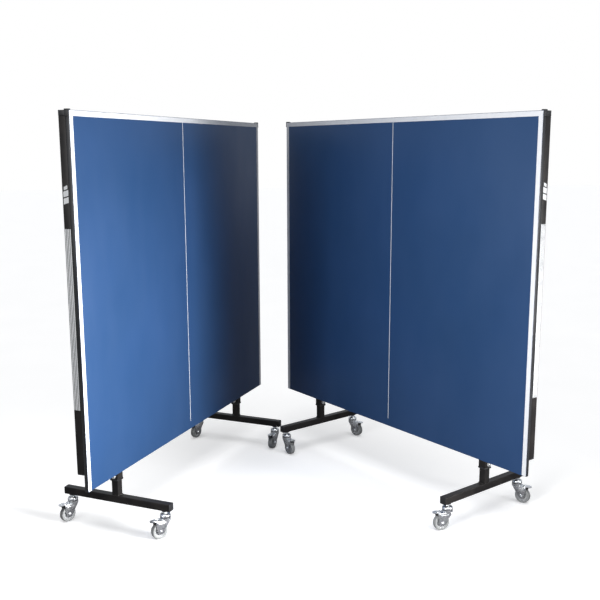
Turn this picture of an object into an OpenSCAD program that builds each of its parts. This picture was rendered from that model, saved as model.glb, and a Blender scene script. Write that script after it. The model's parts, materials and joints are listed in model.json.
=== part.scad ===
// Folding ping pong table: two separate rolling halves, both standing upright in the stored position.
// Half frame: +X is the way the playing face looks, +Y runs along the net edge, Z is up, millimetres.

/* [Playing top] */
// length of the net edge
top_width = 1525; // [1200:5:1600]
// net edge to baseline edge of one half
top_length = 1370; // [1100:5:1450]
// height of the playing surface when a half is lowered
play_height = 760; // [650:5:800]
// board thickness
board_thickness = 15; // [12:0.5:25]
// net edge above the floor when upright
net_edge_height = 243; // [210:1:290]
// depth of the steel side rail behind the board
rail_depth = 30; // [24:1:40]
// width of the rails and cross tubes
rail_width = 20; // [16:1:30]
// lower end of the side rail above the net edge
rail_stop = 68; // [40:1:90]

/* [Wheeled frame] */
// foot beam length with its end caps
beam_length = 490; // [460:5:600]
// square tube size of the foot beam
tube_size = 30; // [26:1:36]
// outside of the upper post sleeve
sleeve_size = 36; // [30:1:42]
// sleeve wall around the lower post
sleeve_wall = 2.9; // [2:0.1:4]
// post centre in from each side edge
post_inset = 230; // [190:5:300]
// underside of the foot beam
beam_bottom = 108; // [104:1:125]
// lower end of the sleeve
sleeve_bottom = 200; // [180:1:220]
// tube wall
wall = 2; // [1.5:0.1:2.5]
// tilt bolt radius
bolt_r = 6; // [4:0.5:8]
// radius of the bolts that hold the sleeves on the lower posts
lock_r = 4; // [3:0.5:5]

/* [Casters] */
// distance between the two swivel axes on one beam
caster_spacing = 432; // [390:1:440]
// wheel radius
wheel_r = 32; // [28:0.5:36]
// tread width
wheel_width = 22; // [16:1:24]
// swivel axis to axle
trail = 28; // [24:1:32]
// swivel stem radius
stem_r = 6; // [5:0.5:7]
// swivel axis to the tip of the brake pedal
pedal_reach = 66; // [62:1:75]

/* [Folding legs] */
// leg hinge below the baseline edge
leg_setback = 175; // [150:5:220]
// leg hinge behind the tilt axis
leg_offset = 44; // [42:1:60]
// leg tube size
leg_size = 25; // [20:1:28]
// link pins behind and below the hinge axes
link_offset = 40; // [36:1:48]
// link pin radius
pin_r = 5; // [4:0.5:6]

/* [Placement] */
// angle between the two playing faces
open_angle = 59.28; // [56:0.02:64]
// across, between the centres of the two faces
face_spread = 888.4; // [880:0.2:940]
// fore and aft, between the centres of the two faces
face_stagger = 90.8; // [60:0.2:95]

/* [Hidden] */
$fn = 64;
weld = 1;
run_fit = 0.05;
side_play = 0.5;
sleeve_play = 0.1;
post_size = sleeve_size - 2 * (sleeve_wall + sleeve_play);
post_y = top_width / 2 - post_inset;
post_x = -board_thickness - 3 - sleeve_size / 2;
pivot_z = play_height + post_x;
top_z = net_edge_height + top_length;
rail_x = -board_thickness - rail_depth;
beam_top = beam_bottom + tube_size;
sleeve_top = pivot_z + sleeve_size / 4;
lock_z = sleeve_bottom + 20;
cheek = 4;
leg_x = post_x - leg_offset;
leg_z = top_z - leg_setback;
leg_len = pivot_z - leg_offset - 1;
link_y = post_y - sleeve_size / 2 - 5.5;
leg_y = link_y - 6 - leg_size / 2;
leg_foot_r = link_y - 3 - side_play - leg_y;
plug = 5;
stem_top = beam_bottom + tube_size - 8;
bridge_z = 2 * wheel_r + 4;
head_top = beam_bottom - 11;
fork_in = wheel_width / 2 + 2;
pedal_x = trail + 12;
pedal_z = bridge_z;
shift_x = 1.86;
shift_y = -9.39;

module half_a() {
  translate([shift_x - face_spread / 2, shift_y + face_stagger / 2, 0])
    rotate([0, 0, -open_angle / 2]) children();
}

module half_b() {
  translate([shift_x + face_spread / 2, shift_y - face_stagger / 2, 0])
    rotate([0, 0, open_angle / 2 - 180]) children();
}

module rounded_square(size, r) {
  square([size, size - 2 * r], center = true);
  square([size - 2 * r, size], center = true);
  for (i = [-1, 1], j = [-1, 1])
    translate([i * (size / 2 - r), j * (size / 2 - r)]) circle(r);
}

module rounded_tube(size, inner, r, length) {
  linear_extrude(length) difference() {
    rounded_square(size, r);
    square(inner, center = true);
  }
}

module box_tube(lo, hi, along) {
  w = [for (i = [0:2]) i == along ? -1 : wall];
  difference() {
    translate(lo) cube(hi - lo);
    translate(lo + w) cube(hi - lo - 2 * w);
  }
}

module y_rod(r, x, z, y0, y1) {
  translate([x, y0, z]) rotate([-90, 0, 0]) cylinder(r = r, h = y1 - y0);
}

// foot beam with the lower post welded to its middle
module foot(s) {
  half_len = beam_length / 2 - 3;
  color([0.10, 0.10, 0.11]) translate([post_x, s * post_y, 0]) {
    difference() {
      translate([-half_len, 0, beam_bottom + tube_size / 2]) rotate([0, 90, 0])
        rounded_tube(tube_size, tube_size - 2 * wall, 3, 2 * half_len);
      for (i = [-1, 1]) translate([i * caster_spacing / 2, 0, beam_bottom - 1])
        cylinder(r = stem_r, h = wall + 2);
    }
    difference() {
      translate([0, 0, beam_top - 0.5])
        rounded_tube(post_size, post_size - 2 * wall, 3, sleeve_bottom + 130 - beam_top);
      y_rod(lock_r + run_fit, 0, lock_z, -sleeve_size, sleeve_size);
    }
  }
}

// two upper post sleeves joined by the crossbar
module upright_frame() {
  bar_z = sleeve_bottom + 230;
  color([0.09, 0.09, 0.10]) {
    for (s = [-1, 1]) difference() {
      union() {
        translate([post_x, s * post_y, sleeve_bottom])
          rounded_tube(sleeve_size, post_size + 2 * sleeve_play, 3, sleeve_top - sleeve_bottom);
        mirror([0, s < 0 ? 1 : 0, 0])
          lug(post_x - link_offset, pivot_z - link_offset, post_x - sleeve_size / 2 + 1,
              post_y - sleeve_size / 2 + 0.5, post_y - sleeve_size / 2 + 6);
      }
      y_rod(bolt_r + run_fit, post_x, pivot_z, s * post_y - 30, s * post_y + 30);
      y_rod(pin_r + run_fit, post_x - link_offset, pivot_z - link_offset, s * post_y - 30, s * post_y + 30);
      y_rod(lock_r + run_fit, post_x, lock_z, s * post_y - 30, s * post_y + 30);
    }
    box_tube([post_x - 13, -post_y + sleeve_size / 2 - weld, bar_z],
             [post_x + 13, post_y - sleeve_size / 2 + weld, bar_z + 30], 1);
  }
}

// link lug: a plate from a pin's place forward to x1, from y0 to y1
module lug(x_pin, z_pin, x1, y0, y1) {
  y_rod(11, x_pin, z_pin, y0, y1);
  translate([x_pin, y0, z_pin - 10]) cube([x1 - x_pin, y1 - y0, 20]);
}

module beam_caps() {
  color([0.05, 0.05, 0.05]) for (s = [-1, 1], i = [0, 1])
    translate([post_x, s * post_y, beam_bottom + tube_size / 2]) mirror([i, 0, 0]) {
      translate([beam_length / 2 - 3, 0, 0]) rotate([0, 90, 0])
        linear_extrude(3) rounded_square(tube_size, 3);
      translate([beam_length / 2 - 15, 0, 0]) rotate([0, 90, 0])
        linear_extrude(12 + weld) square(tube_size - 2 * wall - 0.4, center = true);
    }
}

// swivel stems with their flanged nut and washer
module caster_stems() {
  color([0.65, 0.66, 0.68]) for (s = [-1, 1], i = [-1, 1])
    translate([post_x + i * caster_spacing / 2, s * post_y, 0]) {
      translate([0, 0, bridge_z + 9]) cylinder(r = stem_r, h = stem_top - bridge_z - 9);
      translate([0, 0, head_top + 0.3]) cylinder(r = 9, h = beam_bottom - 3 - head_top - 0.3 + weld);
      translate([0, 0, beam_bottom - 3]) cylinder(r = 14, h = 3);
      translate([0, 0, beam_bottom + wall]) cylinder(r = 9, h = 6);
    }
}

// bolts through the sleeves and the lower posts, with a knob at each end
module lock_knobs() {
  half = sleeve_size / 2;
  color([0.72, 0.72, 0.74]) for (s = [-1, 1]) {
    y_rod(lock_r, post_x, lock_z, s * post_y - half - 1, s * post_y + half + 1);
    y_rod(8, post_x, lock_z, s * post_y - half - 8, s * post_y - half);
    y_rod(8, post_x, lock_z, s * post_y + half, s * post_y + half + 8);
  }
}

module panel() {
  color([0.20, 0.36, 0.58]) translate([-board_thickness, -top_width / 2, net_edge_height])
    cube([board_thickness, top_width, top_length]);
}

module side_rail(s) {
  y1 = top_width / 2;
  color([0.08, 0.08, 0.09]) mirror([0, s < 0 ? 1 : 0, 0])
    box_tube([rail_x, y1 - rail_width, net_edge_height + rail_stop],
             [-board_thickness, y1, top_z - rail_width], 2);
}

module baseline_tube() {
  y1 = top_width / 2 - 3;
  color([0.08, 0.08, 0.09])
    box_tube([rail_x, -y1, top_z - rail_width], [-board_thickness, y1, top_z], 1);
}

// cross tube with the two pairs of tilt brackets
module pivot_tube() {
  y1 = top_width / 2 - rail_width;
  z0 = pivot_z + sleeve_size / 2 + 6;
  color([0.08, 0.08, 0.09]) difference() {
    union() {
      box_tube([rail_x, -y1, z0], [-board_thickness, y1, z0 + 30], 1);
      for (s = [-1, 1], t = [-1, 1]) {
        y0 = s * post_y + t * (sleeve_size / 2 + side_play + cheek / 2) - cheek / 2;
        y_rod(14, post_x, pivot_z, y0, y0 + cheek);
        translate([post_x - 9, y0, pivot_z]) cube([-board_thickness - post_x + 9, cheek, z0 - pivot_z + 1]);
      }
    }
    for (s = [-1, 1]) y_rod(bolt_r, post_x, pivot_z, s * post_y - 35, s * post_y + 35);
  }
}

// cross tube near the baseline with the two leg hinge brackets
module leg_tube() {
  y1 = top_width / 2 - rail_width;
  color([0.08, 0.08, 0.09]) difference() {
    union() {
      box_tube([rail_x, -y1, leg_z - 15], [-board_thickness, y1, leg_z + 15], 1);
      for (s = [0, 1]) mirror([0, s, 0]) {
        y_rod(15, leg_x, leg_z, link_y + 9, link_y + 13);
        translate([leg_x, link_y + 9, leg_z - 15]) cube([rail_x - leg_x + 1, 4, 30]);
      }
    }
    for (s = [0, 1]) mirror([0, s, 0]) y_rod(pin_r + 1 + run_fit, leg_x, leg_z, link_y + 8, link_y + 14);
  }
}

// plugs in the open ends of the rails and of the baseline tube
module tube_plugs() {
  color([0.05, 0.05, 0.05]) for (s = [0, 1]) mirror([0, s, 0]) {
    translate([rail_x, top_width / 2 - 3, top_z - rail_width]) cube([rail_depth, 3, rail_width]);
    translate([rail_x, top_width / 2 - rail_width, net_edge_height + rail_stop - plug])
      cube([rail_depth, rail_width, plug]);
  }
}

module corner_guards() {
  y1 = top_width / 2;
  color([0.04, 0.04, 0.04]) for (s = [0, 1]) mirror([0, s, 0]) difference() {
    translate([-board_thickness - 3, y1 - 10, top_z - 22]) cube([board_thickness + 3, 14, 26]);
    translate([-board_thickness - 4, y1 - 11, top_z - 23]) cube([board_thickness + 5, 11, 23]);
  }
}

module pivot_bolts() {
  out = sleeve_size / 2 + side_play + cheek;
  color([0.65, 0.66, 0.68]) for (s = [0, 1]) mirror([0, s, 0]) {
    y_rod(bolt_r, post_x, pivot_z, post_y - out - 2, post_y + out + 2);
    y_rod(10, post_x, pivot_z, post_y + out, post_y + out + 6);
    y_rod(9, post_x, pivot_z, post_y - out - 6, post_y - out);
  }
}

// two legs with solid hinge bosses and link lugs, their hinge tube and their crossbar
module leg_frame() {
  foot_z = leg_z - leg_len;
  half = leg_size / 2;
  color([0.10, 0.10, 0.11]) {
    y_rod(10, leg_x, leg_z, -leg_y, leg_y);
    box_tube([leg_x - 9, -leg_y + half - weld, foot_z + 120],
             [leg_x + 9, leg_y - half + weld, foot_z + 140], 1);
    for (s = [0, 1]) mirror([0, s, 0]) {
      translate([leg_x, leg_y, foot_z + 25]) rounded_tube(leg_size, leg_size - 2 * wall, 3, leg_len - 25);
      y_rod(half + 0.5, leg_x, leg_z, leg_y - half - 1, leg_y + half + 1);
      y_rod(pin_r + 1, leg_x, leg_z, leg_y, link_y + 16);
      difference() {
        lug(leg_x - link_offset, leg_z - link_offset, leg_x - half + 1, leg_y + half - 6, leg_y + half - 0.5);
        y_rod(pin_r + run_fit, leg_x - link_offset, leg_z - link_offset, leg_y, link_y);
      }
    }
  }
}

module leg_feet() {
  foot_z = leg_z - leg_len;
  color([0.05, 0.05, 0.05]) for (s = [-1, 1]) translate([leg_x, s * leg_y, foot_z]) {
    cylinder(r = leg_foot_r, h = 25);
    translate([0, 0, 25 - weld]) linear_extrude(12) square(leg_size - 2 * wall - 0.4, center = true);
  }
}

// flat links from the post lugs to the leg lugs, with their pins
module link_rods() {
  x0 = post_x - link_offset;
  z0 = pivot_z - link_offset;
  x1 = leg_x - link_offset;
  z1 = leg_z - link_offset;
  d = sqrt((x1 - x0) * (x1 - x0) + (z1 - z0) * (z1 - z0));
  color([0.60, 0.61, 0.63]) for (s = [0, 1]) mirror([0, s, 0])
    translate([x0, link_y, z0]) rotate([0, -atan2(z1 - z0, x1 - x0), 0]) {
      y_rod(8, 0, 0, -3, 3);
      y_rod(8, d, 0, -3, 3);
      translate([0, -3, -7]) cube([d, 6, 14]);
      y_rod(pin_r, 0, 0, -weld, 13);
      y_rod(pin_r, d, 0, -14, weld);
    }
}

// caster frame: swivel axis on Z, axle on the +X side, floor at Z = 0
module caster(i, j, heading) {
  translate([post_x + i * caster_spacing / 2, j * post_y, 0]) rotate([0, 0, heading]) children();
}

module fork() {
  color([0.70, 0.71, 0.73]) {
    difference() {
      union() {
        translate([0, 0, bridge_z + 3]) cylinder(r = 21, h = head_top - bridge_z - 3);
        translate([-16, -fork_in - 2.5, bridge_z]) cube([trail + 16, 2 * fork_in + 5, 4]);
        for (s = [0, 1]) mirror([0, s, 0]) translate([0, fork_in, 0]) rotate([90, 0, 180])
          mirror([1, 0, 0]) linear_extrude(2.5) cheek_outline();
      }
      translate([0, 0, bridge_z + 8.8]) cylinder(r = stem_r + run_fit, h = 30);
      y_rod(3 + run_fit, pedal_x, pedal_z, -30, 30);
    }
    y_rod(4, trail, wheel_r, -fork_in - 1, fork_in + 1);
    for (s = [0, 1]) mirror([0, s, 0]) y_rod(7, trail, wheel_r, fork_in + 2, fork_in + 6);
  }
}

module cheek_outline() {
  translate([trail, wheel_r]) circle(13);
  translate([pedal_x, pedal_z]) circle(7);
  polygon([[-12, bridge_z + 4], [-12, bridge_z - 4], [trail - 12.4, wheel_r - 4],
           [trail + 12.8, wheel_r - 2], [pedal_x + 7, pedal_z], [pedal_x, bridge_z + 4]]);
}

module wheel() {
  color([0.42, 0.42, 0.44]) translate([trail, 0, wheel_r]) rotate([90, 0, 0]) difference() {
    union() {
      cylinder(r = wheel_r, h = wheel_width - 4, center = true);
      cylinder(r = wheel_r - 2, h = wheel_width, center = true);
      cylinder(r = 9, h = 2 * fork_in - 1, center = true);
    }
    cylinder(r = 4 + run_fit, h = 60, center = true);
  }
}

module pedal() {
  w = fork_in - 1;
  color([0.70, 0.71, 0.73]) {
    y_rod(5, pedal_x, pedal_z, -w, w);
    y_rod(3, pedal_x, pedal_z, -fork_in - 3.5, fork_in + 3.5);
    translate([pedal_x - 3, -w, pedal_z]) cube([10, 2 * w, 7]);
    translate([pedal_x - 3, -w, pedal_z + 6]) cube([pedal_reach - w - pedal_x + 3, 2 * w, 4]);
    translate([pedal_reach - w, 0, pedal_z + 6]) cylinder(r = w, h = 4);
    translate([pedal_x + 4, -8, pedal_z - 5.6]) cube([6, 16, 12.6]);
  }
}

half_a() foot(1);  // foot_l_a
half_a() foot(-1);  // foot_r_a
half_a() upright_frame();  // upright_frame_a
half_a() beam_caps();  // beam_caps_a
half_a() caster_stems();  // caster_stems_a
half_a() lock_knobs();  // lock_knobs_a
half_a() panel();  // panel_a
half_a() side_rail(1);  // rail_l_a
half_a() side_rail(-1);  // rail_r_a
half_a() baseline_tube();  // baseline_tube_a
half_a() pivot_tube();  // pivot_tube_a
half_a() leg_tube();  // leg_tube_a
half_a() tube_plugs();  // tube_plugs_a
half_a() corner_guards();  // corner_guards_a
half_a() pivot_bolts();  // pivot_bolts_a
half_a() leg_frame();  // leg_frame_a
half_a() leg_feet();  // leg_feet_a
half_a() link_rods();  // link_rods_a
half_a() caster(1, 1, 266.8) fork();  // fork_a1
half_a() caster(1, 1, 266.8) wheel();  // wheel_a1
half_a() caster(1, 1, 266.8) pedal();  // pedal_a1
half_a() caster(1, -1, 239.8) fork();  // fork_a2
half_a() caster(1, -1, 239.8) wheel();  // wheel_a2
half_a() caster(1, -1, 239.8) pedal();  // pedal_a2
half_a() caster(-1, 1, 256.8) fork();  // fork_a3
half_a() caster(-1, 1, 256.8) wheel();  // wheel_a3
half_a() caster(-1, 1, 256.8) pedal();  // pedal_a3
half_a() caster(-1, -1, 251.8) fork();  // fork_a4
half_a() caster(-1, -1, 251.8) wheel();  // wheel_a4
half_a() caster(-1, -1, 251.8) pedal();  // pedal_a4
half_b() foot(1);  // foot_l_b
half_b() foot(-1);  // foot_r_b
half_b() upright_frame();  // upright_frame_b
half_b() beam_caps();  // beam_caps_b
half_b() caster_stems();  // caster_stems_b
half_b() lock_knobs();  // lock_knobs_b
half_b() panel();  // panel_b
half_b() side_rail(1);  // rail_l_b
half_b() side_rail(-1);  // rail_r_b
half_b() baseline_tube();  // baseline_tube_b
half_b() pivot_tube();  // pivot_tube_b
half_b() leg_tube();  // leg_tube_b
half_b() tube_plugs();  // tube_plugs_b
half_b() corner_guards();  // corner_guards_b
half_b() pivot_bolts();  // pivot_bolts_b
half_b() leg_frame();  // leg_frame_b
half_b() leg_feet();  // leg_feet_b
half_b() link_rods();  // link_rods_b
half_b() caster(1, 1, 342.6) fork();  // fork_b1
half_b() caster(1, 1, 342.6) wheel();  // wheel_b1
half_b() caster(1, 1, 342.6) pedal();  // pedal_b1
half_b() caster(1, -1, 87.6) fork();  // fork_b2
half_b() caster(1, -1, 87.6) wheel();  // wheel_b2
half_b() caster(1, -1, 87.6) pedal();  // pedal_b2
half_b() caster(-1, 1, 102.6) fork();  // fork_b3
half_b() caster(-1, 1, 102.6) wheel();  // wheel_b3
half_b() caster(-1, 1, 102.6) pedal();  // pedal_b3
half_b() caster(-1, -1, 101.6) fork();  // fork_b4
half_b() caster(-1, -1, 101.6) wheel();  // wheel_b4
half_b() caster(-1, -1, 101.6) pedal();  // pedal_b4
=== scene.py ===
import json
import math
import random

import bmesh
import bpy
from mathutils import Matrix, Vector


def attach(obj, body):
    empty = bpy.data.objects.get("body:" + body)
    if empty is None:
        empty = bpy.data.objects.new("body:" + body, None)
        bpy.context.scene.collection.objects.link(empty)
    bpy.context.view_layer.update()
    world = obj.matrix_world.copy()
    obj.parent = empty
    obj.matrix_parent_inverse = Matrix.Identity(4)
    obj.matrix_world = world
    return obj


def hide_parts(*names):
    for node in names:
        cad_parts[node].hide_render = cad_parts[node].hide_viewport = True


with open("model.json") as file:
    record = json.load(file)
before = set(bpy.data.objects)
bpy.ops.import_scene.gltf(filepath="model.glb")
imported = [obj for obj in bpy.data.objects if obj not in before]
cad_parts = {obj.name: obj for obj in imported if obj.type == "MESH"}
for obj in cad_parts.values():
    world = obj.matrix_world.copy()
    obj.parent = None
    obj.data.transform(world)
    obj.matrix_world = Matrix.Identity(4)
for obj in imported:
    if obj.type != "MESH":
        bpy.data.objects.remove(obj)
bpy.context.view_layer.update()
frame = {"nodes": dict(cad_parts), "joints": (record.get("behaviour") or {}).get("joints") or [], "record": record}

random.seed(7)
MM = 0.001
HALVES = "ab"
JOINTS = {j["name"]: j for j in frame["joints"]}
MOUNTS = {m["name"]: m for m in frame["record"]["mounts"]}


# ---------------------------------------------------------------- camera
cam_data = bpy.data.cameras.new("camera")
cam_data.lens = 49.276
cam_data.sensor_width = 36.0
cam_data.clip_end = 60.0
cam = bpy.data.objects.new("camera", cam_data)
cam.location = (-0.4349, -3.5431, 1.472)
cam.rotation_euler = (Matrix.Rotation(math.radians(-7.813), 3, "Z")
                      @ Matrix.Rotation(math.radians(90 - 10.254), 3, "X")
                      @ Matrix.Rotation(math.radians(-0.169), 3, "Z")).to_euler()
bpy.context.scene.collection.objects.link(cam)
bpy.context.scene.camera = cam


# ---------------------------------------------------------------- sizes in millimetres, in a half's frame
# +X the way the playing face looks, +Y along the net edge, Z up,
# origin on the floor under the face
W2 = 762.5
NET_Z = 243.0
TOP_Z = 1613.0
BOARD = 15.0
RAIL_X = -45.0
RAIL_W = 20.0
RAIL_Z = 311.0
POST_X = -36.0
POST_Y = 532.5
PIVOT_Z = 724.0
BORDER = 20.0
WHEEL_R = 32.0
TRAIL = 28.0
BRIDGE_Z = 68.0
PEDAL_X = 40.0
PEDAL_END = 66.0
CHEEK_IN = 13.0
CHEEK_OUT = 15.5
TUBE = 30.0
BEAM_Z = 108.0
BEAM_LENGTH = 490.0
CASTER_SPACING = 432.0
LOCK_Z = 220.0
LOCK_R = 4.0
KNOB_R = 8.0
SLEEVE_Z = (200.0, 733.0)
CROSSBAR_Z = (430, 460)
PIVOT_TUBE_Z = (748, 778)
LEG_TUBE_Z = (1423, 1453)
GUARD = 4.0
PLUG = 5.0
END_PLUG = 3.0


def half_matrix(h):
    m = MOUNTS["play_face_" + h]
    n = Vector(m["axis"]).normalized()
    t = Vector((0, 0, 1)).cross(n)
    out = Matrix((n, t, Vector((0, 0, 1)))).transposed().to_4x4()
    out.translation = Vector((m["pos_m"][0], m["pos_m"][1], 0.0))
    return out


def caster_matrix(c):
    p = JOINTS["swivel_" + c]["pos_m"]
    y = Vector(JOINTS["roll_" + c]["axis"]).normalized()
    z = Vector((0, 0, 1))
    out = Matrix((y.cross(z), y, z)).transposed().to_4x4()
    out.translation = Vector((p[0], p[1], 0.0))
    return out


HALF = {h: half_matrix(h) for h in HALVES}
CASTERS = {h: [h + k for k in "1234"] for h in HALVES}


# ---------------------------------------------------------------- procedural materials
def material(name, roughness=0.5, metallic=0.0, specular=0.5, coat=0.0, coat_rough=0.1, sheen=0.0):
    mat = bpy.data.materials.new(name)
    mat.use_nodes = True
    nt = mat.node_tree
    b = nt.nodes["Principled BSDF"]
    b.inputs["Roughness"].default_value = roughness
    b.inputs["Metallic"].default_value = metallic
    b.inputs["Specular IOR Level"].default_value = specular
    b.inputs["Coat Weight"].default_value = coat
    b.inputs["Coat Roughness"].default_value = coat_rough
    b.inputs["Sheen Weight"].default_value = sheen
    coord = nt.nodes.new("ShaderNodeTexCoord")
    return mat, nt, b, coord.outputs["Object"]


def noise(nt, vec, scale, detail=4.0, rough=0.55, stretch=None):
    if stretch:
        mp = nt.nodes.new("ShaderNodeMapping")
        mp.inputs["Scale"].default_value = stretch
        nt.links.new(vec, mp.inputs["Vector"])
        vec = mp.outputs["Vector"]
    n = nt.nodes.new("ShaderNodeTexNoise")
    n.inputs["Scale"].default_value = scale
    n.inputs["Detail"].default_value = detail
    n.inputs["Roughness"].default_value = rough
    nt.links.new(vec, n.inputs["Vector"])
    return n.outputs["Fac"]


def ramp(nt, fac, stops):
    r = nt.nodes.new("ShaderNodeValToRGB")
    els = r.color_ramp.elements
    while len(els) < len(stops):
        els.new(0.5)
    for el, (pos, col) in zip(els, stops):
        el.position = pos
        el.color = (*col, 1.0) if len(col) == 3 else col
    nt.links.new(fac, r.inputs["Fac"])
    return r.outputs["Color"]


def span(nt, fac, lo, hi):
    m = nt.nodes.new("ShaderNodeMapRange")
    m.inputs["From Min"].default_value = 0.3
    m.inputs["From Max"].default_value = 0.7
    m.inputs["To Min"].default_value = lo
    m.inputs["To Max"].default_value = hi
    nt.links.new(fac, m.inputs["Value"])
    return m.outputs["Result"]


def mix(nt, fac, a, b, blend="MIX"):
    m = nt.nodes.new("ShaderNodeMix")
    m.data_type = "RGBA"
    m.blend_type = blend
    if isinstance(fac, float):
        m.inputs["Factor"].default_value = fac
    else:
        nt.links.new(fac, m.inputs["Factor"])
    for key, v in (("A", a), ("B", b)):
        sock = [s for s in m.inputs if s.name == key and s.type == "RGBA"][0]
        if isinstance(v, tuple):
            sock.default_value = (*v, 1.0)
        else:
            nt.links.new(v, sock)
    return [s for s in m.outputs if s.type == "RGBA"][0]


def bump(nt, bsdf, height, strength, distance):
    b = nt.nodes.new("ShaderNodeBump")
    b.inputs["Strength"].default_value = strength
    b.inputs["Distance"].default_value = distance
    nt.links.new(height, b.inputs["Height"])
    nt.links.new(b.outputs["Normal"], bsdf.inputs["Normal"])


def finish_mat(nt, bsdf, colour, rough):
    nt.links.new(colour, bsdf.inputs["Base Color"])
    nt.links.new(rough, bsdf.inputs["Roughness"])


def play_blue():
    mat, nt, b, vec = material("play_surface_blue", specular=0.2)
    cloud = noise(nt, vec, 1.7, 3.0)
    grain = noise(nt, vec, 900.0, 2.0)
    smear = noise(nt, vec, 5.0, 5.0, 0.6, (1.0, 1.0, 0.35))
    base = ramp(nt, cloud, [(0.3, (0.019, 0.058, 0.150)), (0.7, (0.025, 0.069, 0.180))])
    dusty = mix(nt, span(nt, smear, 0.0, 0.10), base, (0.08, 0.14, 0.27))
    speck = mix(nt, span(nt, grain, 0.0, 0.10), dusty, (0.05, 0.11, 0.27))
    finish_mat(nt, b, speck, span(nt, smear, 0.36, 0.46))
    bump(nt, b, grain, 0.10, 0.00012)
    return mat


def underside():
    mat, nt, b, vec = material("board_underside", specular=0.3)
    fibre = noise(nt, vec, 140.0, 6.0, 0.7, (1.0, 1.0, 0.25))
    cloud = noise(nt, vec, 3.0, 4.0)
    base = ramp(nt, fibre, [(0.35, (0.020, 0.022, 0.026)), (0.65, (0.036, 0.039, 0.046))])
    col = mix(nt, span(nt, cloud, 0.0, 0.25), base, (0.055, 0.056, 0.060))
    finish_mat(nt, b, col, span(nt, fibre, 0.55, 0.72))
    bump(nt, b, fibre, 0.18, 0.0003)
    return mat


def edge_band():
    mat, nt, b, vec = material("edge_band_black", specular=0.5)
    n = noise(nt, vec, 60.0, 4.0, 0.6, (1.0, 1.0, 0.1))
    col = ramp(nt, n, [(0.3, (0.014, 0.014, 0.016)), (0.75, (0.030, 0.031, 0.034))])
    finish_mat(nt, b, col, span(nt, n, 0.28, 0.42))
    bump(nt, b, n, 0.06, 0.0002)
    return mat


def powder_coat():
    mat, nt, b, vec = material("powder_coat_black", specular=0.2)
    orange = noise(nt, vec, 1100.0, 2.0)
    dust = noise(nt, vec, 14.0, 6.0, 0.65)
    base = ramp(nt, dust, [(0.35, (0.011, 0.010, 0.010)), (0.8, (0.032, 0.028, 0.026))])
    fleck = mix(nt, span(nt, orange, 0.0, 0.05), base, (0.08, 0.08, 0.085))
    finish_mat(nt, b, fleck, span(nt, dust, 0.34, 0.50))
    bump(nt, b, orange, 0.22, 0.00015)
    return mat


def zinc():
    mat, nt, b, vec = material("zinc_plate", metallic=1.0)
    v = nt.nodes.new("ShaderNodeTexVoronoi")
    v.inputs["Scale"].default_value = 260.0
    nt.links.new(vec, v.inputs["Vector"])
    scuff = noise(nt, vec, 75.0, 7.0, 0.7)
    base = ramp(nt, scuff, [(0.3, (0.66, 0.67, 0.69)), (0.55, (0.80, 0.81, 0.82)),
                            (0.8, (0.90, 0.90, 0.90))])
    col = mix(nt, 0.12, base, v.outputs["Color"], "SOFT_LIGHT")
    finish_mat(nt, b, col, span(nt, scuff, 0.20, 0.38))
    bump(nt, b, scuff, 0.06, 0.0002)
    return mat


def plastic(name, dark, light, r0, r1, grain=700.0, strength=0.12):
    mat, nt, b, vec = material(name, specular=0.45)
    g = noise(nt, vec, grain, 3.0)
    c = noise(nt, vec, 22.0, 4.0)
    base = ramp(nt, c, [(0.3, dark), (0.75, light)])
    col = mix(nt, span(nt, g, 0.0, 0.06), base, tuple(min(1.0, x * 1.6 + 0.02) for x in light))
    finish_mat(nt, b, col, span(nt, c, r0, r1))
    bump(nt, b, g, strength, 0.00015)
    return mat


def tyre_rubber():
    mat, nt, b, vec = material("tyre_grey_rubber", specular=0.3, sheen=0.12)
    g = noise(nt, vec, 420.0, 5.0, 0.7)
    dirt = noise(nt, vec, 38.0, 6.0, 0.7)
    base = ramp(nt, dirt, [(0.30, (0.26, 0.27, 0.27)), (0.55, (0.37, 0.38, 0.38)),
                           (0.8, (0.45, 0.46, 0.46))])
    col = mix(nt, span(nt, g, 0.0, 0.12), base, (0.52, 0.52, 0.51))
    finish_mat(nt, b, col, span(nt, dirt, 0.55, 0.75))
    bump(nt, b, g, 0.20, 0.0002)
    return mat


def white_paint():
    mat, nt, b, vec = material("line_white", specular=0.45)
    n = noise(nt, vec, 40.0, 5.0)
    col = ramp(nt, n, [(0.3, (0.86, 0.88, 0.91)), (0.7, (0.92, 0.93, 0.95))])
    finish_mat(nt, b, col, span(nt, n, 0.38, 0.50))
    bump(nt, b, noise(nt, vec, 900.0, 2.0), 0.08, 0.0001)
    return mat


def vinyl():
    mat, nt, b, vec = material("decal_white_vinyl", specular=0.5, coat=0.25, coat_rough=0.15)
    n = noise(nt, vec, 30.0, 4.0)
    col = ramp(nt, n, [(0.3, (0.82, 0.84, 0.86)), (0.7, (0.90, 0.91, 0.92))])
    finish_mat(nt, b, col, span(nt, n, 0.22, 0.34))
    return mat


BLUE = play_blue()
UNDER = underside()
EDGE = edge_band()
STEEL = powder_coat()
ZINC = zinc()
BLACK = plastic("plastic_black", (0.010, 0.010, 0.011), (0.022, 0.022, 0.024), 0.38, 0.52)
HUB = plastic("hub_grey", (0.46, 0.47, 0.48), (0.58, 0.59, 0.60), 0.30, 0.45)
RUBBER = plastic("rubber_black", (0.012, 0.012, 0.012), (0.030, 0.030, 0.030), 0.60, 0.78, 380.0, 0.25)
TYRE = tyre_rubber()
WHITE = white_paint()
VINYL = vinyl()


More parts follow.
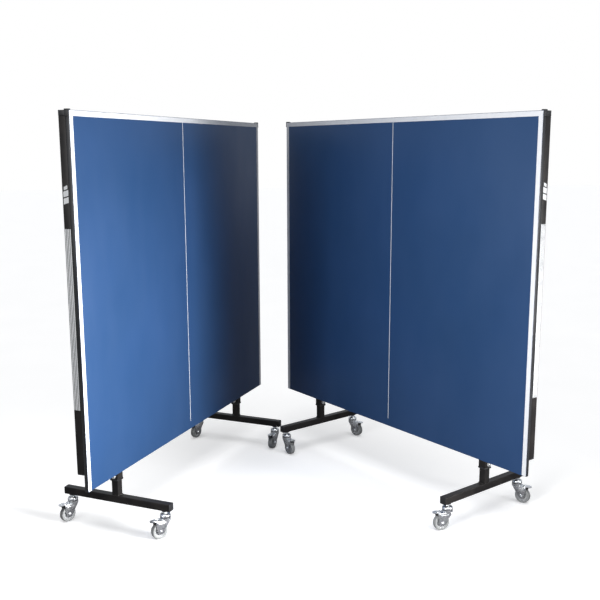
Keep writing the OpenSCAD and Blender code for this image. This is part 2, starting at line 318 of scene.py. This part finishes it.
# ---------------------------------------------------------------- mesh building
class Piece:
    """A mesh being built in millimetres under a matrix, with a material per part."""

    def __init__(self, name, matrix):
        self.name = name
        self.matrix = matrix @ Matrix.Scale(MM, 4)
        self.verts = []
        self.faces = []
        self.index = []
        self.mats = []

    def slot_of(self, mat):
        if mat not in self.mats:
            self.mats.append(mat)
        return self.mats.index(mat)

    def add(self, verts, faces, mat, m=None):
        base = len(self.verts)
        full = self.matrix @ m if m is not None else self.matrix
        self.verts += [full @ Vector(v) for v in verts]
        mats = mat if isinstance(mat, list) else [mat] * len(faces)
        for f, mt in zip(faces, mats):
            self.faces.append([base + i for i in f])
            self.index.append(self.slot_of(mt))

    def add_bm(self, bm, mat, m=None, pick=None):
        bm.normal_update()
        bm.verts.index_update()
        verts = [v.co.copy() for v in bm.verts]
        faces = [[v.index for v in f.verts] for f in bm.faces]
        mats = [pick(f) for f in bm.faces] if pick else mat
        self.add(verts, faces, mats, m)
        bm.free()

    def build(self, body, *nodes, angle=38.0, slot=None):
        mesh = bpy.data.meshes.new(self.name)
        mesh.from_pydata(self.verts, [], self.faces)
        for mat in self.mats:
            mesh.materials.append(mat)
        mesh.polygons.foreach_set("material_index", self.index)
        mesh.polygons.foreach_set("use_smooth", [True] * len(self.faces))
        bm = bmesh.new()
        bm.from_mesh(mesh)
        bmesh.ops.recalc_face_normals(bm, faces=bm.faces)
        for e in bm.edges:
            if len(e.link_faces) == 2 and e.calc_face_angle(0.0) > math.radians(angle):
                e.smooth = False
        bm.to_mesh(mesh)
        bm.free()
        mesh.update()
        obj = bpy.data.objects.new(self.name, mesh)
        bpy.context.scene.collection.objects.link(obj)
        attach(obj, body)
        if nodes:
            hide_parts(*nodes)
        return obj


def ease(bm, edges, r, seg):
    bmesh.ops.bevel(bm, geom=edges, offset=r, segments=seg, profile=0.5, affect="EDGES",
                    clamp_overlap=True)


def box_bm(lo, hi, r=0.0, seg=2):
    """A box from its lowest to its highest corner, its edges rounded by r."""
    bm = bmesh.new()
    bmesh.ops.create_cube(bm, size=1.0)
    for v in bm.verts:
        for i in range(3):
            v.co[i] = lo[i] if v.co[i] < 0 else hi[i]
    if r > 0:
        ease(bm, list(bm.edges), r, seg)
    return bm


def prism_bm(outline, z0, z1, r=0.0, seg=2):
    """A 2-D outline in XY extruded along Z, its two rims rounded by r."""
    bm = bmesh.new()
    low = [bm.verts.new((x, y, z0)) for x, y in outline]
    high = [bm.verts.new((x, y, z1)) for x, y in outline]
    bm.faces.new(low[::-1])
    bm.faces.new(high)
    n = len(outline)
    rims = []
    for i in range(n):
        j = (i + 1) % n
        bm.faces.new((low[i], low[j], high[j], high[i]))
    bm.edges.ensure_lookup_table()
    for e in bm.edges:
        a, b = e.verts
        if abs(a.co.z - b.co.z) < 1e-6:
            rims.append(e)
    if r > 0:
        ease(bm, rims, r, seg)
    return bm


def lathe(profile, steps=40):
    """(radius, height) pairs turned about Z."""
    verts, faces, rings = [], [], []
    for r, h in profile:
        if r < 1e-6:
            rings.append([len(verts)])
            verts.append((0.0, 0.0, h))
        else:
            rings.append(list(range(len(verts), len(verts) + steps)))
            for i in range(steps):
                a = 2 * math.pi * i / steps
                verts.append((r * math.cos(a), r * math.sin(a), h))
    for a, b in zip(rings, rings[1:]):
        for i in range(steps):
            j = (i + 1) % steps
            if len(a) == 1 and len(b) == 1:
                continue
            if len(a) == 1:
                faces.append((a[0], b[i], b[j]))
            elif len(b) == 1:
                faces.append((a[i], a[j], b[0]))
            else:
                faces.append((a[i], a[j], b[j], b[i]))
    return verts, faces


def rod(r, h0, h1, edge=0.6):
    """Profile of a solid round bar with eased rims."""
    return [(0, h0), (r - edge, h0), (r - edge * 0.3, h0 + edge * 0.3), (r, h0 + edge),
            (r, h1 - edge), (r - edge * 0.3, h1 - edge * 0.3), (r - edge, h1), (0, h1)]


def hull2d(pts):
    pts = sorted(set((round(x, 4), round(y, 4)) for x, y in pts))

    def side(seq):
        out = []
        for p in seq:
            while len(out) > 1 and ((out[-1][0] - out[-2][0]) * (p[1] - out[-2][1])
                                    - (out[-1][1] - out[-2][1]) * (p[0] - out[-2][0])) <= 0:
                out.pop()
            out.append(p)
        return out[:-1]

    return side(pts) + side(pts[::-1])


def arc(cx, cy, r, a0=0.0, a1=360.0, n=28):
    return [(cx + r * math.cos(math.radians(a0 + (a1 - a0) * i / n)),
             cy + r * math.sin(math.radians(a0 + (a1 - a0) * i / n))) for i in range(n + 1)]


def axis_matrix(origin, direction):
    """Z of the part turned to a direction, at an origin."""
    d = Vector(direction).normalized()
    return Matrix.Translation(Vector(origin)) @ d.to_track_quat("Z", "Y").to_matrix().to_4x4()


def hexagon(r):
    return [(r * math.cos(math.radians(60 * i)), r * math.sin(math.radians(60 * i))) for i in range(6)]


def bolt_head(p, origin, direction, size=6.5, height=5.0, washer=9.0, mat=None):
    mat = mat or ZINC
    m = axis_matrix(origin, direction)
    v, f = lathe(rod(washer, 0.0, 1.6, 0.4), 32)
    p.add(v, f, mat, m)
    p.add_bm(prism_bm(hexagon(size), 1.6, 1.6 + height, 0.5), mat, m)
    v, f = lathe(rod(size * 0.55, 1.6 + height - 0.4, 1.6 + height + 1.2, 0.5), 24)
    p.add(v, f, mat, m)


def screw_head(p, origin, direction, r=4.2, mat=None):
    """Pan head with a cross recess, the recess drawn as two black bars: painted shade."""
    mat = mat or ZINC
    m = axis_matrix(origin, direction)
    head = [(0, -0.5), (r, -0.5), (r, 0.4), (r * 0.86, 1.3), (r * 0.55, 1.9), (r * 0.2, 2.1), (0, 2.1)]
    v, f = lathe(head, 20)
    p.add(v, f, mat, m)
    # the cross recess is not cut: two black bars on the head stand in for the shade inside it, painted shade
    for turn in (0, 90):
        c = m @ Matrix.Rotation(math.radians(turn + 20), 4, "Z")
        p.add_bm(box_bm((-r * 0.5, -0.4, 1.7), (r * 0.5, 0.4, 2.2), 0.1, 1), BLACK, c)


def weld_bead(p, points, r=1.6):
    """A row of overlapping weld scales along a path."""
    for a, b in zip(points, points[1:]):
        a, b = Vector(a), Vector(b)
        n = max(2, int((b - a).length / 2.2))
        for i in range(n):
            c = a.lerp(b, (i + 0.5) / n)
            s = r * random.uniform(0.85, 1.15)
            v, f = lathe([(0, -s), (s * 0.75, -s * 0.6), (s, 0), (s * 0.75, s * 0.6), (0, s)], 8)
            p.add(v, f, STEEL, axis_matrix(c, b - a))


def square_loop(cx, cy, z, half):
    corners = ((-1, -1), (1, -1), (1, 1), (-1, 1), (-1, -1))
    return [(cx + sx * half, cy + sy * half, z) for sx, sy in corners]


# ---------------------------------------------------------------- the playing top of each half
def board(h):
    p = Piece("board_" + h, HALF[h])
    bm = box_bm((-BOARD, -W2, NET_Z), (0, W2, TOP_Z), 1.4, 3)

    def pick(f):
        if f.normal.x > 0.9:
            return BLUE
        return UNDER if f.normal.x < -0.9 else EDGE

    p.add_bm(bm, None, pick=pick)
    p.build("top_" + h, "panel_" + h, slot="board")


def painted_lines(h):
    p = Piece("painted_lines_" + h, HALF[h])
    x0, x1 = -0.05, 0.22
    e = 1.5
    inner = W2 - BORDER

    def strip(y0, y1, z0, z1):
        p.add_bm(box_bm((x0, y0, z0), (x1, y1, z1), 0.12, 1), WHITE)

    strip(-W2 + e, W2 - e, TOP_Z - BORDER, TOP_Z - e)
    for s in (-1, 1):
        lo, hi = sorted((s * inner, s * (W2 - e)))
        strip(lo, hi, NET_Z + e, TOP_Z - BORDER)
    strip(-1.5, 1.5, NET_Z + 35.0, TOP_Z - BORDER)
    p.build("top_" + h)


def rails(h):
    for k, s in (("l", 1), ("r", -1)):
        p = Piece("rail_%s_%s" % (k, h), HALF[h])
        lo, hi = sorted((s * (W2 - RAIL_W), s * W2))
        p.add_bm(box_bm((RAIL_X, lo, RAIL_Z), (-BOARD, hi, TOP_Z - RAIL_W), 1.6, 3), STEEL)
        # screws through the rail into the board, seen from behind
        for z in (380, 560, 840, 1080, 1330, 1560):
            screw_head(p, (RAIL_X, s * (W2 - RAIL_W / 2), z), (-1, 0, 0))
        p.build("top_" + h, "rail_%s_%s" % (k, h), slot="black_steel")


def decals(h):
    """Plain stripes and slanted bars on the outer faces of the side rails."""
    p = Piece("rail_decals_" + h, HALF[h])
    middle = (RAIL_X - BOARD) / 2
    stripe, pitch = 4.4, 6.6
    stripe_z0, stripe_z1 = TOP_Z - 1059, TOP_Z - 404
    slant, gap = 6.0, 4.0
    for s in (-1, 1):
        y0, y1 = sorted((s * (W2 - 0.05), s * (W2 + 0.2)))
        for i in range(4):
            x = middle - 12.1 + i * pitch
            p.add_bm(box_bm((x, y0, stripe_z0), (x + stripe, y1, stripe_z1), 0.1, 1), VINYL)
        z = TOP_Z - 253
        for length, wide in ((12, 15), (20, 21), (20, 21)):
            x0, x1 = middle - wide / 2, middle + wide / 2
            out = [(x0, z - slant), (x1, z), (x1, z - length), (x0, z - length - slant)]
            verts = [(x, y, zz) for y in (y0, y1) for x, zz in out]
            faces = [(0, 1, 2, 3), (7, 6, 5, 4)]
            faces += [(k, (k + 1) % 4, (k + 1) % 4 + 4, k + 4) for k in range(4)]
            p.add(verts, faces, VINYL)
            z -= length + gap
    p.build("top_" + h)


def cross_tubes(h):
    p = Piece("baseline_tube_" + h, HALF[h])
    end = W2 - END_PLUG
    p.add_bm(box_bm((RAIL_X, -end, TOP_Z - RAIL_W), (-BOARD, end, TOP_Z), 1.6, 3), STEEL)
    for y in (-600, -300, 0, 300, 600):
        screw_head(p, (RAIL_X, y, TOP_Z - RAIL_W / 2), (-1, 0, 0))
    p.build("top_" + h, "baseline_tube_" + h, slot="black_steel")

    p = Piece("tube_plugs_" + h, HALF[h])
    for s in (-1, 1):
        lo, hi = sorted((s * end, s * W2))
        p.add_bm(box_bm((RAIL_X, lo, TOP_Z - RAIL_W), (-BOARD, hi, TOP_Z), 1.0, 2), BLACK)
        lo, hi = sorted((s * (W2 - RAIL_W), s * W2))
        p.add_bm(box_bm((RAIL_X, lo, RAIL_Z - PLUG), (-BOARD, hi, RAIL_Z), 1.6, 3), BLACK)
    p.build("top_" + h, "tube_plugs_" + h, slot="black_plastic")

    p = Piece("top_screws_" + h, HALF[h])
    for z in (sum(PIVOT_TUBE_Z) / 2, sum(LEG_TUBE_Z) / 2):
        for y in (-690, -380, -130, 130, 380, 690):
            screw_head(p, (RAIL_X, y, z), (-1, 0, 0))
    # weld seams where the cross tubes meet the rails
    for s in (-1, 1):
        y = s * (W2 - RAIL_W)
        for z0, z1 in (PIVOT_TUBE_Z, LEG_TUBE_Z):
            weld_bead(p, [(RAIL_X + 1, y, z0), (RAIL_X + 1, y, z1)], 1.3)
    p.build("top_" + h)


def corner_guards(h):
    p = Piece("corner_guards_" + h, HALF[h])
    back = -BOARD - 3
    for s in (-1, 1):
        lo, hi = sorted((s * (W2 - 10), s * (W2 + GUARD)))
        p.add_bm(box_bm((back, lo, TOP_Z), (0, hi, TOP_Z + GUARD), 1.5, 3), BLACK)
        lo, hi = sorted((s * W2, s * (W2 + GUARD)))
        p.add_bm(box_bm((back, lo, TOP_Z - 22), (0, hi, TOP_Z + 2), 1.5, 3), BLACK)
        screw_head(p, (-9, s * (W2 + 2.6), TOP_Z - 12), (0, s, 0), 2.0, BLACK)
    p.build("top_" + h, "corner_guards_" + h, slot="black_plastic")


def pivot_bolts(h):
    p = Piece("pivot_bolts_" + h, HALF[h])
    for s in (-1, 1):
        y = s * POST_Y
        v, f = lathe(rod(6, -24, 24), 28)
        p.add(v, f, ZINC, axis_matrix((POST_X, y, PIVOT_Z), (0, 1, 0)))
        bolt_head(p, (POST_X, y + s * 22.5, PIVOT_Z), (0, s, 0), 8.0, 4.0, 10.0)
        bolt_head(p, (POST_X, y - s * 22.5, PIVOT_Z), (0, -s, 0), 7.0, 3.4, 9.0)
    p.build("top_" + h, "pivot_bolts_" + h, slot="zinc")


# ---------------------------------------------------------------- the wheeled frame of each half
def frame_trim(h):
    p = Piece("beam_caps_" + h, HALF[h])
    end = BEAM_LENGTH / 2
    half = TUBE / 2
    for s in (-1, 1):
        for i in (-1, 1):
            y = s * POST_Y
            x0, x1 = sorted((POST_X + i * (end - 3), POST_X + i * end))
            p.add_bm(box_bm((x0, y - half, BEAM_Z), (x1, y + half, BEAM_Z + TUBE), 1.4, 3), BLACK)
            x0, x1 = sorted((POST_X + i * (end - 1.5), POST_X + i * (end + 0.6)))
            p.add_bm(box_bm((x0, y - 9, BEAM_Z + 6), (x1, y + 9, BEAM_Z + 24), 0.6, 2), BLACK)
    p.build("frame_" + h, "beam_caps_" + h, slot="black_plastic")

    p = Piece("clamp_knobs_" + h, HALF[h])
    flutes = []
    for i in range(32):
        r, a = KNOB_R - 0.8 * (i % 2), math.radians(11.25 * i)
        flutes.append((r * math.cos(a), r * math.sin(a)))
    for s in (-1, 1):
        v, f = lathe(rod(LOCK_R, -19, 19), 24)
        p.add(v, f, ZINC, axis_matrix((POST_X, s * POST_Y, LOCK_Z), (0, 1, 0)))
        for side in (-1, 1):
            m = axis_matrix((POST_X, s * POST_Y + side * 18, LOCK_Z), (0, side, 0))
            v, f = lathe(rod(KNOB_R - 0.2, 0.0, 1.4, 0.4), 32)
            p.add(v, f, ZINC, m)
            p.add_bm(prism_bm(flutes, 1.4, 7.2, 0.9, 2), HUB, m)
            v, f = lathe(rod(4.6, 6.8, 7.9, 0.4), 24)
            p.add(v, f, ZINC, m)
    p.build("frame_" + h, "lock_knobs_" + h, slot="knob_metal")

    p = Piece("frame_welds_" + h, HALF[h])
    low, top = SLEEVE_Z
    for s in (-1, 1):
        y = s * POST_Y
        weld_bead(p, square_loop(POST_X, y, BEAM_Z + TUBE + 0.2, TUBE / 2 + 0.4), 1.7)
        # lower lip of the sleeve, a slip ring of black plastic
        p.add_bm(box_bm((POST_X - 19, y - 19, low), (POST_X + 19, y + 19, low + 7), 2.0, 3), BLACK)
        for z in CROSSBAR_Z:
            yy = y - s * 18.2
            weld_bead(p, [(POST_X - 12, yy, z), (POST_X + 12, yy, z)], 1.4)
        # cap in the open top of the sleeve
        p.add_bm(box_bm((POST_X - 15, y - 15, top - 2), (POST_X + 15, y + 15, top + 1), 1.0, 2), BLACK)
    p.build("frame_" + h)

    p = Piece("caster_stems_" + h, HALF[h])
    for s in (-1, 1):
        for i in (-1, 1):
            m = Matrix.Translation((POST_X + i * CASTER_SPACING / 2, s * POST_Y, 0))
            v, f = lathe(rod(6, 77.2, 109, 0.5), 32)
            p.add(v, f, ZINC, m)
            v, f = lathe(rod(8.6, 97.3, 99.2, 0.5), 32)
            p.add(v, f, ZINC, m)
            p.add_bm(prism_bm(hexagon(8.9), 99.0, 105.2, 0.6), ZINC, m)
            flange = [(0, 104.8), (12, 104.8), (13.8, 105.6), (14, 106.2), (14, BEAM_Z), (0, BEAM_Z)]
            v, f = lathe(flange, 32)
            p.add(v, f, BLACK, m)
    p.build("frame_" + h, "caster_stems_" + h, slot="zinc")


# ---------------------------------------------------------------- casters
def cheek_outline():
    pts = arc(TRAIL, WHEEL_R, 13) + arc(PEDAL_X, BRIDGE_Z, 7)
    pts += arc(-8, BRIDGE_Z, 4, 90, 270, 10) + [(-10, BRIDGE_Z - 4)]
    return hull2d(pts)


def fork(c, body):
    p = Piece("caster_fork_" + c, caster_matrix(c))
    head = [(6.3, 88), (6.3, 72), (19.5, 72), (20.8, 72.8), (21, 74), (21, 80), (19.4, 81), (19.4, 83),
            (20.8, 84), (21, 85.2), (21, 89), (19.8, 92.4), (16.5, 95.2), (12, 96.6), (6.6, 97),
            (6.3, 96.6), (6.3, 88)]
    v, f = lathe(head, 44)
    p.add(v, f, ZINC)
    # dark seal ring between the two raceways
    v, f = lathe([(18, 81), (20.1, 81.2), (20.1, 82.8), (18, 83)], 44)
    p.add(v, f, BLACK)
    p.add_bm(box_bm((-16, -CHEEK_OUT, BRIDGE_Z), (TRAIL, CHEEK_OUT, BRIDGE_Z + 4), 1.6, 3), ZINC)
    out = cheek_outline()
    cx = sum(x for x, _ in out) / len(out)
    cy = sum(y for _, y in out) / len(out)
    rib = [(cx + (x - cx) * 0.62, cy + (y - cy) * 0.62) for x, y in out]
    for s in (-1, 1):
        m = Matrix.Rotation(math.radians(90), 4, "X")
        a, b = sorted((-s * CHEEK_IN, -s * CHEEK_OUT))
        p.add_bm(prism_bm(out, a, b, 0.7, 2), ZINC, m)
        a, b = sorted((-s * 15.2, -s * 16.2))
        p.add_bm(prism_bm(rib, a, b, 0.45, 2), ZINC, m)
        bolt_head(p, (TRAIL, s * 15.6, WHEEL_R), (0, s, 0), 5.6, 2.6, 7.0)
    v, f = lathe(rod(3.9, -15, 15), 24)
    p.add(v, f, ZINC, axis_matrix((TRAIL, 0, WHEEL_R), (0, 1, 0)))
    p.build(body, "fork_" + c, slot="zinc")


def wheel(c, body):
    p = Piece("caster_wheel_" + c, caster_matrix(c))
    m = axis_matrix((TRAIL, 0, WHEEL_R), (0, 1, 0))
    half = [(22.4, -9.2), (23.4, -10.4), (27, -11), (29.6, -10.6), (31.1, -9.2), (31.8, -7),
            (32, -4), (32, -1.1), (31.6, -0.5)]
    tread = half + [(r, -z) for r, z in half[::-1]] + half[:1]
    v, f = lathe(tread, 64)
    p.add(v, f, TYRE, m)
    half = [(4.1, -12), (8.2, -12), (8.8, -11.4), (9, -10), (9.4, -7), (18.6, -5.6), (20.6, -6.2),
            (21.6, -9), (22.7, -9.4)]
    hub = half + [(r, -z) for r, z in half[::-1]] + half[:1]
    v, f = lathe(hub, 64)
    p.add(v, f, HUB, m)
    for s in (-1, 1):
        a, b = sorted((s * 9.6, s * 12.1))
        edge = b - 0.3 if s > 0 else b
        v, f = lathe([(4.1, a), (6.9, a), (7.0, edge), (6.4, b), (4.1, b), (4.1, a)], 36)
        p.add(v, f, BLACK, m)
        for i in range(6):
            r = m @ Matrix.Rotation(math.radians(60 * i + 15), 4, "Z")
            lo, hi = sorted((s * 5.0, s * 8.0))
            p.add_bm(box_bm((8.6, -1.1, lo), (21.6, 1.1, hi), 0.5, 2), HUB, r)
    p.build(body, "wheel_" + c, slot="wheel_rubber")


def pedal(c, body):
    p = Piece("caster_pedal_" + c, caster_matrix(c))
    w = 12.0
    plate = [(37, -w)] + arc(PEDAL_END - w, 0, w, -90, 90, 20) + [(37, w)]
    p.add_bm(prism_bm(plate, 74.2, 77.4, 0.8, 2), ZINC)
    for i in range(3):
        p.add_bm(box_bm((49 + i * 4, -7 + i, 77.0), (50.6 + i * 4, 7 - i, 78.0), 0.35, 2), ZINC)
    v, f = lathe(rod(5, -w, w, 0.8), 28)
    p.add(v, f, ZINC, axis_matrix((PEDAL_X, 0, BRIDGE_Z), (0, 1, 0)))
    for s in (-1, 1):
        rivet = [(0, 13), (2.95, 13), (2.95, 15.6), (4.4, 15.7), (4.2, 16.5), (2.6, 17.0), (0, 17.1)]
        v, f = lathe(rivet, 24)
        p.add(v, f, ZINC, axis_matrix((PEDAL_X, 0, BRIDGE_Z), (0, s, 0)))
        lo, hi = sorted((s * 10.2, s * 12))
        p.add_bm(box_bm((37.2, lo, 68), (47, hi, 75), 0.6, 2), ZINC)
    p.add_bm(box_bm((44, -8, 62.4), (50, 8, 74.8), 1.0, 3), RUBBER)
    p.build(body, "pedal_" + c, slot="zinc")


# ---------------------------------------------------------------- make everything
for h in HALVES:
    board(h)
    painted_lines(h)
    rails(h)
    decals(h)
    cross_tubes(h)
    corner_guards(h)
    pivot_bolts(h)
    frame_trim(h)
    for c in CASTERS[h]:
        fork(c, "fork_" + c)
        wheel(c, "wheel_" + c)
        pedal(c, "pedal_" + c)

KEPT = {"foot_l": STEEL, "foot_r": STEEL, "upright_frame": STEEL, "pivot_tube": STEEL, "leg_tube": STEEL,
        "leg_frame": STEEL, "leg_feet": RUBBER, "link_rods": ZINC}
for h in HALVES:
    for name, mat in KEPT.items():
        obj = frame["nodes"][name + "_" + h]
        obj.data.materials.clear()
        obj.data.materials.append(mat)


# ---------------------------------------------------------------- floor and light
FLOOR_HALF = 30.0
FLOOR_GLOW = 0.36
FLOOR_BOUNCE = (0.25, 0.25, 0.26)
ROOM = (0.88, 0.93, 1.0)
ROOM_SOFT = 0.10
ROOM_GLOSS = 0.7
KEY_WATTS = 40
FILL_WATTS = 19
TOP_STRENGTH = 2.0

mat, nt, b, vec = material("floor_pale", roughness=0.8, specular=0.1)
pale = ramp(nt, noise(nt, vec, 2.0), [(0.3, (0.84, 0.845, 0.85)), (0.7, (0.88, 0.88, 0.885))])
finish_mat(nt, b, pale, span(nt, noise(nt, vec, 9.0), 0.7, 0.85))
b.inputs["Emission Color"].default_value = (1.0, 1.0, 1.0, 1.0)
b.inputs["Emission Strength"].default_value = FLOOR_GLOW
# the floor that lights the table is dimmer than the one the lens sees
dim = nt.nodes.new("ShaderNodeBsdfDiffuse")
dim.inputs["Color"].default_value = (*FLOOR_BOUNCE, 1.0)
path = nt.nodes.new("ShaderNodeLightPath")
both = nt.nodes.new("ShaderNodeMixShader")
nt.links.new(path.outputs["Is Camera Ray"], both.inputs["Fac"])
nt.links.new(dim.outputs["BSDF"], both.inputs[1])
nt.links.new(b.outputs["BSDF"], both.inputs[2])
nt.links.new(both.outputs["Shader"], nt.nodes["Material Output"].inputs["Surface"])
mesh = bpy.data.meshes.new("floor")
corners = [(x * FLOOR_HALF, y * FLOOR_HALF, 0) for x, y in ((-1, -1), (1, -1), (1, 1), (-1, 1))]
mesh.from_pydata(corners, [], [(0, 1, 2, 3)])
mesh.materials.append(mat)
floor = bpy.data.objects.new("floor", mesh)
bpy.context.scene.collection.objects.link(floor)

world = bpy.data.worlds.new("studio")
bpy.context.scene.world = world
world.use_nodes = True
wt = world.node_tree
path = wt.nodes.new("ShaderNodeLightPath")


def backdrop(colour, strength):
    n = wt.nodes.new("ShaderNodeBackground")
    n.inputs["Color"].default_value = (*colour, 1.0)
    n.inputs["Strength"].default_value = strength
    return n


# a dim room for soft light, a brighter one for reflections, and plain white behind the table
room = backdrop(ROOM, ROOM_SOFT)
gloss = backdrop(ROOM, ROOM_GLOSS)
white = backdrop((1.0, 1.0, 1.0), 1.0)
shader = room
for ray, seen in (("Is Glossy Ray", gloss), ("Is Camera Ray", white)):
    both = wt.nodes.new("ShaderNodeMixShader")
    wt.links.new(path.outputs[ray], both.inputs["Fac"])
    wt.links.new(shader.outputs[0], both.inputs[1])
    wt.links.new(seen.outputs[0], both.inputs[2])
    shader = both
wt.links.new(shader.outputs[0], wt.nodes["World Output"].inputs["Surface"])
bpy.context.scene.view_settings.view_transform = "Standard"


def lamp(name, kind, loc, target, power, size=None, angle=None, spread=180):
    d = bpy.data.lights.new(name, kind)
    d.energy = power
    if size:
        d.shape = "RECTANGLE"
        d.size, d.size_y = size
        d.spread = math.radians(spread)
    if angle:
        d.angle = math.radians(angle)
    o = bpy.data.objects.new(name, d)
    o.location = loc
    o.rotation_euler = (Vector(target) - Vector(loc)).to_track_quat("-Z", "Y").to_euler()
    bpy.context.scene.collection.objects.link(o)


lamp("key", "AREA", (2.5, -2.4, 1.0), (-1.1, -0.85, 0.55), KEY_WATTS, size=(1.0, 1.2), spread=55)
lamp("fill", "AREA", (-3.2, -3.6, 2.0), (1.2, -1.0, 0.9), FILL_WATTS, size=(1.4, 1.4), spread=48)
lamp("top", "SUN", (0.0, -0.6, 4.0), (0.0, 0.0, 0.0), TOP_STRENGTH, angle=50)
